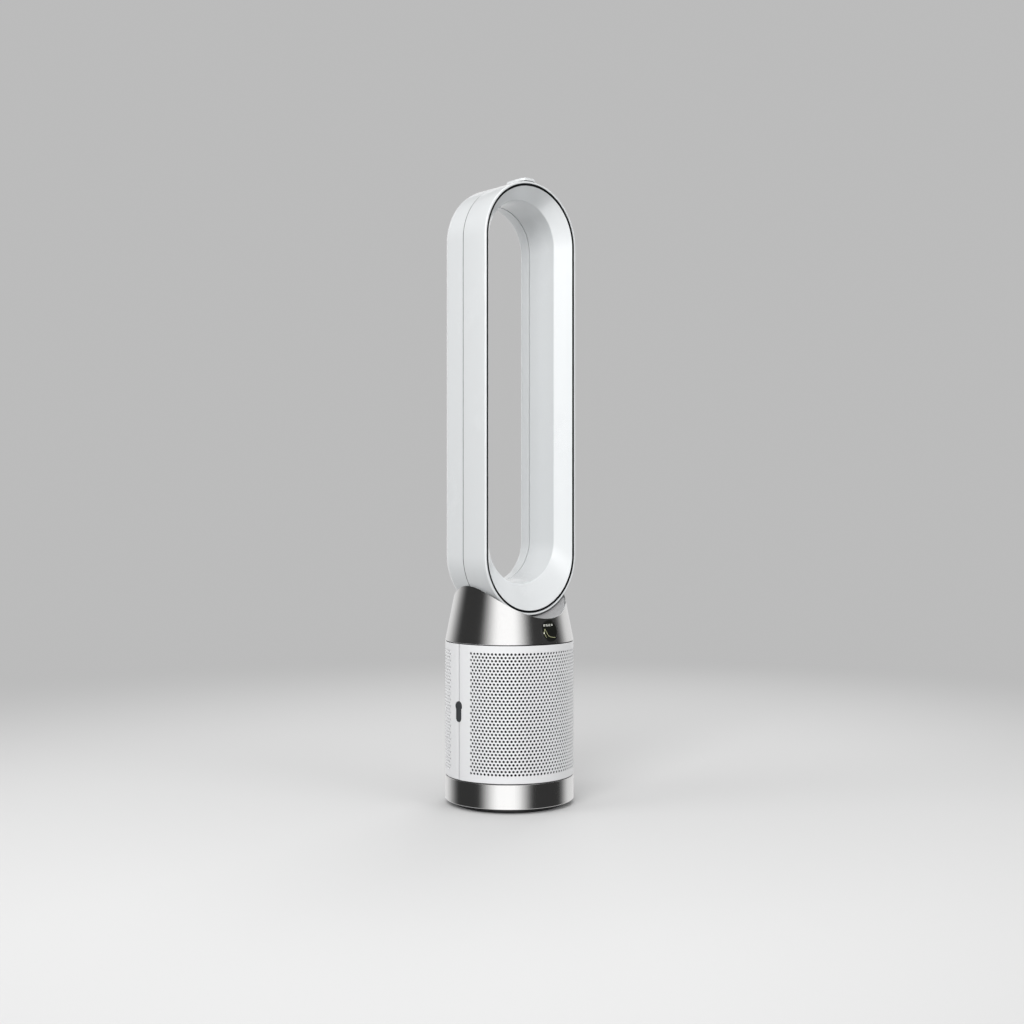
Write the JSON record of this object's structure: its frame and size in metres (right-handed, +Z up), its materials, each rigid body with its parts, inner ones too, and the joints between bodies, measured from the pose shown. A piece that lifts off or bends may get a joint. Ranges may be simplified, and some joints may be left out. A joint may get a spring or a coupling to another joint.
{
  "type": "bladeless fan",
  "caption": "Tall bladeless fan with a narrow upright air loop over a round filter base with perforated shrouds, a metal collar with a round display, and a docked remote.",
  "frame": {"origin": "on the floor, on the axis of the round base", "axes": "+Z up along the loop, -Y towards the front with the display, +X to the right seen from the front"},
  "size_m": [0.2228, 0.22, 1.0611],
  "materials": {
    "nickel": "brushed nickel plating, satin",
    "white_gloss": "white moulded plastic, satin gloss",
    "pale_grey": "pale grey moulded plastic",
    "dark_grey": "dark grey satin plastic",
    "gloss_black": "gloss black plastic",
    "display_glass": "black display window over a lit graph",
    "black_plastic": "black moulded plastic",
    "rubber": "black rubber",
    "steel": "turned steel",
    "board": "green circuit board",
    "paper": "pleated filter cloth under a dark net",
    "carbon": "activated carbon block",
    "acetal": "natural acetal"
  },
  "bodies": {
    "base": {"foot_pad": "rubber", "foot_plinth": "black_plastic", "base_tray": "black_plastic", "base_band": "nickel", "base_cover": "black_plastic", "bearing_ring": "acetal", "oscillation_motor": "steel", "mains_inlet": "black_plastic", "power_board": "board", "air_quality_sensor": "black_plastic"},
    "machine": {"turntable_gear": "acetal", "base_deck": "black_plastic", "chassis_cage": "pale_grey", "spine_left": "pale_grey", "spine_right": "pale_grey", "top_frame": "black_plastic", "inlet_bellmouth": "pale_grey", "impeller_housing": "pale_grey", "motor_can": "steel", "bearing_lower": "steel", "bearing_upper": "steel", "diffuser": "pale_grey", "isolator_ring": "rubber", "collar_skin": "nickel", "cradle": "pale_grey", "neck_duct": "black_plastic", "neck_seal": "rubber", "display_bezel": "gloss_black", "display_glass": "display_glass", "display_board": "board", "control_board": "board", "loop_front_casing": "white_gloss", "loop_rear_casing": "white_gloss", "loop_rear_lip": "white_gloss", "loop_front_trim": "gloss_black", "loop_nozzle": "white_gloss"},
    "pinion": {"oscillation_pinion": "acetal"},
    "rotor": {"impeller": "black_plastic", "motor_shaft": "steel"},
    "front_shroud": {"shroud_front": "white_gloss", "filter_frame_front": "dark_grey", "filter_pleats_front": "paper"},
    "rear_shroud": {"shroud_rear": "white_gloss", "filter_frame_rear": "dark_grey", "filter_pleats_rear": "paper"},
    "front_carbon": {"filter_carbon_front": "carbon"},
    "rear_carbon": {"filter_carbon_rear": "carbon"},
    "left_button": {"release_button_left": "dark_grey"},
    "right_button": {"release_button_right": "dark_grey"},
    "remote": {"remote_base": "dark_grey", "remote_shell": "white_gloss", "remote_magnet": "steel"},
    "battery_drawer": {"remote_battery_drawer": "dark_grey"},
    "key_power": {"remote_button_power": "pale_grey"},
    "key_flow_down": {"remote_button_flow_down": "pale_grey"},
    "key_flow_up": {"remote_button_flow_up": "pale_grey"},
    "key_sweep": {"remote_button_sweep": "pale_grey"},
    "key_timer": {"remote_button_timer": "pale_grey"},
    "key_night": {"remote_button_night": "pale_grey"}
  },
  "joints": [
    {"name": "oscillation", "type": "hinge", "parent": "base", "child": "machine", "pos_m": [0, 0, 0.0433], "axis": [0, 0, 1], "range_deg": [-175, 175]},
    {"name": "pinion_spin", "type": "hinge", "parent": "base", "child": "pinion", "pos_m": [0.03855, 0, 0.0154], "axis": [0, 0, 1], "range_deg": [-525, 525]},
    {"name": "impeller_spin", "type": "hinge", "parent": "machine", "child": "rotor", "pos_m": [0, 0, 0.26], "axis": [0, 0, 1], "continuous": true},
    {"name": "front_shroud_pull", "type": "slide", "parent": "machine", "child": "front_shroud", "axis": [0, -1, 0], "range_m": [0, 0.12]},
    {"name": "front_carbon_pull", "type": "slide", "parent": "machine", "child": "front_carbon", "axis": [0, -1, 0], "range_m": [0, 0.06]},
    {"name": "rear_shroud_pull", "type": "slide", "parent": "machine", "child": "rear_shroud", "axis": [0, 1, 0], "range_m": [0, 0.12]},
    {"name": "rear_carbon_pull", "type": "slide", "parent": "machine", "child": "rear_carbon", "axis": [0, 1, 0], "range_m": [0, 0.06]},
    {"name": "left_button_press", "type": "slide", "parent": "machine", "child": "left_button", "axis": [1, 0, 0], "range_m": [0, 0.003], "stiffness_N_per_m": 800},
    {"name": "right_button_press", "type": "slide", "parent": "machine", "child": "right_button", "axis": [-1, 0, 0], "range_m": [0, 0.003], "stiffness_N_per_m": 800},
    {"name": "remote_lift", "type": "slide", "parent": "machine", "child": "remote", "axis": [0, 0, 1], "range_m": [0, 0.08]},
    {"name": "battery_drawer_slide", "type": "slide", "parent": "remote", "child": "battery_drawer", "axis": [0, 1, 0], "range_m": [0, 0.01]},
    {"name": "power_press", "type": "slide", "parent": "remote", "child": "key_power", "axis": [0, 0, -1], "range_m": [0, 0.0007], "stiffness_N_per_m": 400},
    {"name": "flow_down_press", "type": "slide", "parent": "remote", "child": "key_flow_down", "axis": [0, 0, -1], "range_m": [0, 0.0007], "stiffness_N_per_m": 400},
    {"name": "flow_up_press", "type": "slide", "parent": "remote", "child": "key_flow_up", "axis": [0, 0, -1], "range_m": [0, 0.0007], "stiffness_N_per_m": 400},
    {"name": "sweep_press", "type": "slide", "parent": "remote", "child": "key_sweep", "axis": [0, 0, -1], "range_m": [0, 0.0007], "stiffness_N_per_m": 400},
    {"name": "timer_press", "type": "slide", "parent": "remote", "child": "key_timer", "axis": [0, 0, -1], "range_m": [0, 0.0007], "stiffness_N_per_m": 400},
    {"name": "night_press", "type": "slide", "parent": "remote", "child": "key_night", "axis": [0, 0, -1], "range_m": [0, 0.0007], "stiffness_N_per_m": 400}
  ],
  "couplings": [
    {"joint": "pinion_spin", "follows": "oscillation", "ratio": -3},
    {"joint": "front_carbon_pull", "follows": "front_shroud_pull", "ratio": 0.5},
    {"joint": "rear_carbon_pull", "follows": "rear_shroud_pull", "ratio": 0.5}
  ]
}
